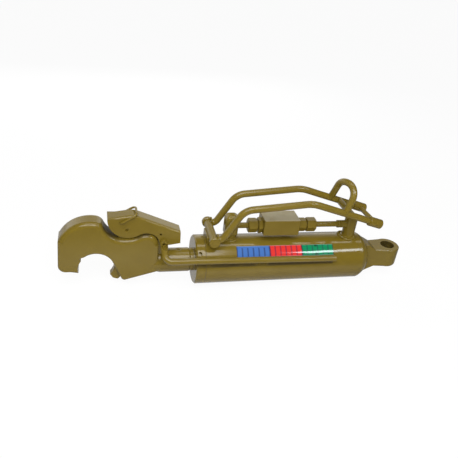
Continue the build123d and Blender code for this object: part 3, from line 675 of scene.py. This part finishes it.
def tack_ring(y):
    """The ellipse where a bar's foot, at that y, meets the crossbar's upper rear side."""
    places = []
    for turn in turns(48):
        x = crossbar.x + tack_behind - tack_lean * cos(turn)
        z = crossbar.z + tack_above + tack_half_height * cos(turn)
        places.append((x, y + tack_half_width * sin(turn), z))
    return places


for name, y in (("near", -bar_y), ("far", bar_y)):
    print("tack", name, bead("tack_bar_" + name, "barrel", tack_ring(y), 0.0015, 0.2), "points")

# %% [markdown]
# ## Studio
#
# A pale floor, and white all round for the camera. Glossy paint needs something darker to mirror than the
# camera needs behind it, so the Light Path node shows mirrored rays a room of their own. It is dim but for a
# bright wall behind the link. The floor in it is brightest in a strip just in front of the link, less bright
# under and behind it, and dim nearer the camera and past the knuckle. Strong lamps could make the floor white
# instead, but they would also bleach the paint. A small share of the floor's real shading keeps the shadow.

# %% Lay the floor
floor_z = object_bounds()[0].z - 0.0005
floor_reach = 60.0

bm = bmesh.new()
bmesh.ops.create_grid(bm, x_segments=1, y_segments=1, size=floor_reach)
bmesh.ops.translate(bm, verts=bm.verts, vec=(gland_front, 0, floor_z))
floor_mesh = bpy.data.meshes.new("floor")
bm.to_mesh(floor_mesh)
bm.free()
floor = bpy.data.objects.new("floor", floor_mesh)
bpy.context.scene.collection.objects.link(floor)
print("floor at", round(floor_z, 4))


# %% Finish the floor
shadow_share = 0.06
white = (1.0, 1.0, 1.0)
pale_floor = ((0.66, 0.66, 0.66), (0.60, 0.60, 0.59))
mirrored_floor = ((0.16, 0.16, 0.16), (1.0, 0.99, 0.97))


def floor_finish():
    """White to the camera, pale to light, its own brightness in reflections, and it keeps the shadow."""
    tree, shader, place = new_finish("floor_white")
    camera_ray = add_node(tree, "ShaderNodeLightPath")
    rays = camera_ray.socket.node.outputs
    glossy_ray = Wire(tree, rays["Is Glossy Ray"])
    cloudy = mix_colour(tree, noise(tree, place, 3.0) * 0.04, *pale_floor)
    plug(tree, shader.inputs["Base Color"], mix_colour(tree, camera_ray, cloudy, white))
    shader.inputs["Roughness"].default_value = 0.9
    shader.inputs["Specular IOR Level"].default_value = 0.1
    x, y, _ = split(tree, place)
    bright = y.above(-0.15, 0.05) * (1 - y.above(-0.08, 0.02) * 0.4) * (1 - x.above(-0.02, 0.12) * 0.8)
    mirrored = mix_colour(tree, bright, *mirrored_floor)
    glow = add_node(tree, "ShaderNodeEmission", Color=mix_colour(tree, glossy_ray, white, mirrored))
    lit = Wire(tree, shader.outputs[0])
    seen = camera_ray.larger(glossy_ray).larger(Wire(tree, rays["Is Transmission Ray"]))
    mixer = add_node(tree, "ShaderNodeMixShader", in0=seen * (1 - shadow_share), in1=lit, in2=glow)
    plug(tree, tree.nodes["Material Output"].inputs["Surface"], mixer)


floor_finish()
floor_mesh.materials.append(finishes["floor_white"])
print("floor finished")

# %% Surround the link
room_light = (0.32, 0.32, 0.32)
mirrored_dark = (0.10, 0.10, 0.10)
mirrored_wall = (1.35, 1.35, 1.33)

world = bpy.data.worlds.new("studio")
bpy.context.scene.world = world
world.use_nodes = True
sky = world.node_tree
sky.nodes.clear()
side, behind, up = split(sky, add_node(sky, "ShaderNodeTexCoord"))
wall = behind.above(0.30, 0.20) * (1 - up.above(0.52, 0.22)) * (1 - side.above(0.56, 0.10))
mirrored_room = mix_colour(sky, wall, mirrored_dark, mirrored_wall)
rays = add_node(sky, "ShaderNodeLightPath").socket.node.outputs
room = mix_colour(sky, Wire(sky, rays["Is Glossy Ray"]), room_light, mirrored_room)
seen_room = mix_colour(sky, Wire(sky, rays["Is Camera Ray"]), room, white)
background = add_node(sky, "ShaderNodeBackground", Color=seen_room, Strength=1.0)
sky.links.new(background.socket, sky.nodes.new("ShaderNodeOutputWorld").inputs["Surface"])
print("room light", room_light)

# %% [markdown]
# ## Light
#
# Three boxes light the link: a large key above and in front of the hook, which the paint also mirrors, a fill
# in front and one behind for the far side, which it doesn't. Two more show only in reflections: a pale band
# along the top of the barrel, and a bright streak from the scale's last zone to the barrel's rear end. One
# large lamp could do both, but apart from the light they can be placed and made as bright as a highlight
# needs, and the level stays plain.

# %% Soft boxes
def soft_box(name, place, target, size, power, colour=(1, 1, 1), mirrored=True, lights=True):
    """A rectangular lamp at a place, facing a target; it can be left out of reflections or of the light."""
    light = bpy.data.lights.new(name, "AREA")
    light.shape = "RECTANGLE"
    light.size, light.size_y = size
    light.energy = power
    light.color = colour
    lamp = bpy.data.objects.new(name, light)
    bpy.context.scene.collection.objects.link(lamp)
    lamp.location = place
    toward = Vector(target) - Vector(place)
    if abs(toward.x) < 1e-6:
        lamp.rotation_euler = (atan2(toward.y, -toward.z), 0, 0)
    else:
        lamp.rotation_mode = "QUATERNION"
        lamp.rotation_quaternion = toward.to_track_quat("-Z", "Y")
    lamp.visible_glossy = mirrored
    lamp.visible_diffuse = lights


barrel_front = (gland_front + 0.1, 0, 0.03)
barrel_back = (gland_front + 0.3, 0, 0.03)
scale_end = (-0.13, -0.032, 0.028)
soft_box("key_box", (-0.58, -0.80, 1.30), (-0.58, 0, 0.03), (1.20, 0.70), 16.0)
soft_box("fill_box", (gland_front - 0.02, -0.85, 0.60), barrel_front, (0.5, 0.4), 4.0, (1.0, 0.98, 0.95),
         mirrored=False)
soft_box("back_box", (gland_front, 1.30, 0.50), barrel_front, (1.2, 0.5), 7.0, mirrored=False)
soft_box("top_box", (gland_front + 0.3, 0.13, 1.35), barrel_back, (1.8, 0.22), 4.6, lights=False)
soft_box("streak_box", (0.44, -0.73, 0.90), scale_end, (0.40, 0.17), 3.4, (0.86, 0.93, 1.0), lights=False)
print("lamps", len(bpy.data.lights))

# %% [markdown]
# ## Camera
#
# A normal lens from the front left, looking down at about thirty degrees. The camera could be turned by three
# angles, but their order is easy to get wrong, so its right, up and back directions are set as the columns
# of its matrix. The small shift frames the link without turning the camera.

# %% Camera
right = Vector((0.9663, -0.2295, 0.1169))
above = Vector((0.0185, 0.5145, 0.8573))
back = right.cross(above).normalized()
above = back.cross(right).normalized()
camera_place = (-0.5266, -0.7336, 0.4977)

camera_data = bpy.data.cameras.new("camera")
camera_data.sensor_width = 36.0
camera_data.lens = 40.56
camera_data.shift_x = -0.0188
camera_data.shift_y = 0.0067
camera = bpy.data.objects.new("camera", camera_data)
bpy.context.scene.collection.objects.link(camera)
camera.matrix_world = Matrix.Translation(camera_place) @ Matrix((right, above, back)).transposed().to_4x4()
bpy.context.scene.camera = camera
bpy.context.scene.view_settings.view_transform = "Standard"
print("camera at", camera_place)
